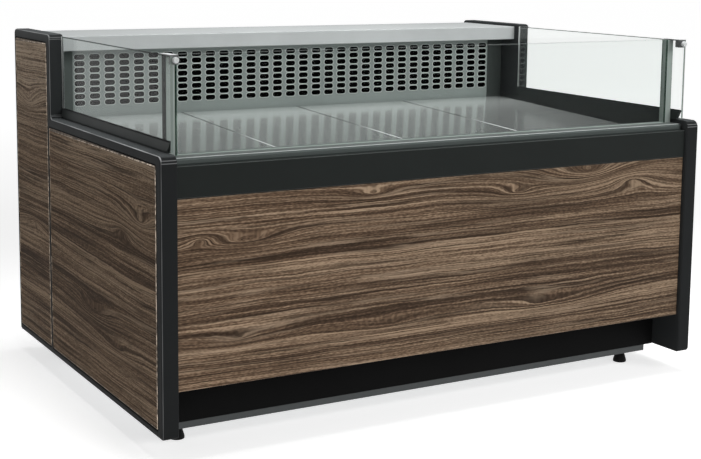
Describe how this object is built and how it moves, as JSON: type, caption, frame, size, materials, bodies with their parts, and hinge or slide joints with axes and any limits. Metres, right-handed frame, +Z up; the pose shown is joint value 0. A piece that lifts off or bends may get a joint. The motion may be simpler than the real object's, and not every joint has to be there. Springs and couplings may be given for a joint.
{
  "type": "refrigerated display case",
  "caption": "Low open-top refrigerated display case: glazed well with a stainless deck and a rear shelf, thick side panels with wood inserts, a recessed plinth and its own cooling unit.",
  "frame": {"origin": "on the floor, under the middle of the case", "axes": "+X to the right when looking at the front, +Y to the rear, +Z up"},
  "size_m": [1.58, 1.09, 0.935],
  "materials": {
    "black_shell": "satin black",
    "side_laminate": "dark walnut laminate, matt",
    "front_laminate": "walnut laminate, matt",
    "black_paint": "satin black",
    "base_paint": "satin dark grey",
    "grey_profile": "grey anodised",
    "clear_glass": "clear, polished",
    "spacer_bar": "satin",
    "clamp_silver": "satin silver",
    "tank_shell": "plain grey skin",
    "outlet_paint": "satin grey",
    "shelf_paint": "satin light grey",
    "stainless": "brushed, bright",
    "galvanised": "plain zinc",
    "coil_aluminium": "mill finish",
    "fan_plastic": "matt black",
    "motor_black": "gloss black",
    "copper_pipe": "drawn copper",
    "foot_plastic": "matt black",
    "rear_paint": "satin grey",
    "screw_steel": "zinc plated",
    "control_plastic": "matt black",
    "key_plastic": "matt grey",
    "switch_red": "gloss red"
  },
  "bodies": {
    "case": {"air_outlet_panel": "outlet_paint", "base_front_beam": "base_paint", "base_pan": "galvanised", "base_rear_beam": "base_paint", "compressor": "motor_black", "condenser_coil": "coil_aluminium", "condenser_fan_motor": "motor_black", "condenser_shroud": "galvanised", "controller": "control_plastic", "deck_supports": "stainless", "evaporator_coil": "coil_aluminium", "evaporator_fan_motors": "motor_black", "fan_plate": "stainless", "front_decor_panel": "front_laminate", "front_glass": "clear_glass", "front_glass_profile": "grey_profile", "front_glass_spacer": "spacer_bar", "front_top_rail": "black_paint", "kick_plate": "black_paint", "left_front_insert": "side_laminate", "left_glass_clamp": "clamp_silver", "left_glass_holder": "black_paint", "left_liner": "black_paint", "left_rear_insert": "side_laminate", "left_side_glass": "clear_glass", "left_side_panel": "black_shell", "mains_inlet": "control_plastic", "panel_screws": "screw_steel", "rear_top_shelf": "shelf_paint", "rear_upper_panel": "rear_paint", "rear_vent_panel": "rear_paint", "refrigerant_pipes": "copper_pipe", "return_air_grille": "stainless", "right_front_insert": "side_laminate", "right_glass_clamp": "clamp_silver", "right_glass_holder": "black_paint", "right_liner": "black_paint", "right_rear_insert": "side_laminate", "right_side_glass": "clear_glass", "right_side_panel": "black_shell", "tank_floor": "tank_shell", "tank_front_wall": "tank_shell", "tank_rear_wall": "tank_shell"},
    "foot_front_left": {"foot_front_left": "foot_plastic"},
    "foot_front_right": {"foot_front_right": "foot_plastic"},
    "foot_rear_left": {"foot_rear_left": "foot_plastic"},
    "foot_rear_right": {"foot_rear_right": "foot_plastic"},
    "tray_1": {"deck_tray_1": "stainless"},
    "tray_2": {"deck_tray_2": "stainless"},
    "tray_3": {"deck_tray_3": "stainless"},
    "tray_4": {"deck_tray_4": "stainless"},
    "fan_left": {"evaporator_fan_left": "fan_plastic"},
    "fan_right": {"evaporator_fan_right": "fan_plastic"},
    "fan_condenser": {"condenser_fan": "fan_plastic"},
    "knob_left": {"left_clamp_knob": "clamp_silver"},
    "knob_right": {"right_clamp_knob": "clamp_silver"},
    "key_set": {"controller_key_set": "key_plastic"},
    "key_down": {"controller_key_down": "key_plastic"},
    "key_up": {"controller_key_up": "key_plastic"},
    "switch": {"main_switch": "switch_red"}
  },
  "joints": [
    {"name": "foot_front_left_level", "type": "slide", "parent": "case", "child": "foot_front_left", "axis": [0, 0, 1], "range_m": [-0.015, 0.01]},
    {"name": "foot_front_right_level", "type": "slide", "parent": "case", "child": "foot_front_right", "axis": [0, 0, 1], "range_m": [-0.015, 0.01]},
    {"name": "foot_rear_left_level", "type": "slide", "parent": "case", "child": "foot_rear_left", "axis": [0, 0, 1], "range_m": [-0.015, 0.01]},
    {"name": "foot_rear_right_level", "type": "slide", "parent": "case", "child": "foot_rear_right", "axis": [0, 0, 1], "range_m": [-0.015, 0.01]},
    {"name": "tray_1_lift", "type": "slide", "parent": "case", "child": "tray_1", "axis": [0, 0, 1], "range_m": [0, 0.15]},
    {"name": "tray_2_lift", "type": "slide", "parent": "case", "child": "tray_2", "axis": [0, 0, 1], "range_m": [0, 0.15]},
    {"name": "tray_3_lift", "type": "slide", "parent": "case", "child": "tray_3", "axis": [0, 0, 1], "range_m": [0, 0.15]},
    {"name": "tray_4_lift", "type": "slide", "parent": "case", "child": "tray_4", "axis": [0, 0, 1], "range_m": [0, 0.15]},
    {"name": "fan_left_spin", "type": "hinge", "parent": "case", "child": "fan_left", "pos_m": [-0.3, -0.329, 0.58123], "axis": [0, 1, 0], "continuous": true},
    {"name": "fan_right_spin", "type": "hinge", "parent": "case", "child": "fan_right", "pos_m": [0.3, -0.329, 0.58123], "axis": [0, 1, 0], "continuous": true},
    {"name": "fan_condenser_spin", "type": "hinge", "parent": "case", "child": "fan_condenser", "pos_m": [-0.2, 0.412, 0.23509], "axis": [0, 1, 0], "continuous": true},
    {"name": "knob_left_turn", "type": "hinge", "parent": "case", "child": "knob_left", "pos_m": [-0.744, -0.5193, 0.919], "axis": [0, -1, 0], "continuous": true},
    {"name": "knob_right_turn", "type": "hinge", "parent": "case", "child": "knob_right", "pos_m": [0.744, -0.5193, 0.919], "axis": [0, -1, 0], "continuous": true},
    {"name": "key_set_press", "type": "slide", "parent": "case", "child": "key_set", "axis": [0, -1, 0], "range_m": [0, 0.0008], "stiffness_N_per_m": 500},
    {"name": "key_down_press", "type": "slide", "parent": "case", "child": "key_down", "axis": [0, -1, 0], "range_m": [0, 0.0008], "stiffness_N_per_m": 500},
    {"name": "key_up_press", "type": "slide", "parent": "case", "child": "key_up", "axis": [0, -1, 0], "range_m": [0, 0.0008], "stiffness_N_per_m": 500},
    {"name": "switch_rock", "type": "hinge", "parent": "case", "child": "switch", "pos_m": [0.59, 0.536, 0.213], "axis": [1, 0, 0], "range_deg": [0, 16]}
  ]
}
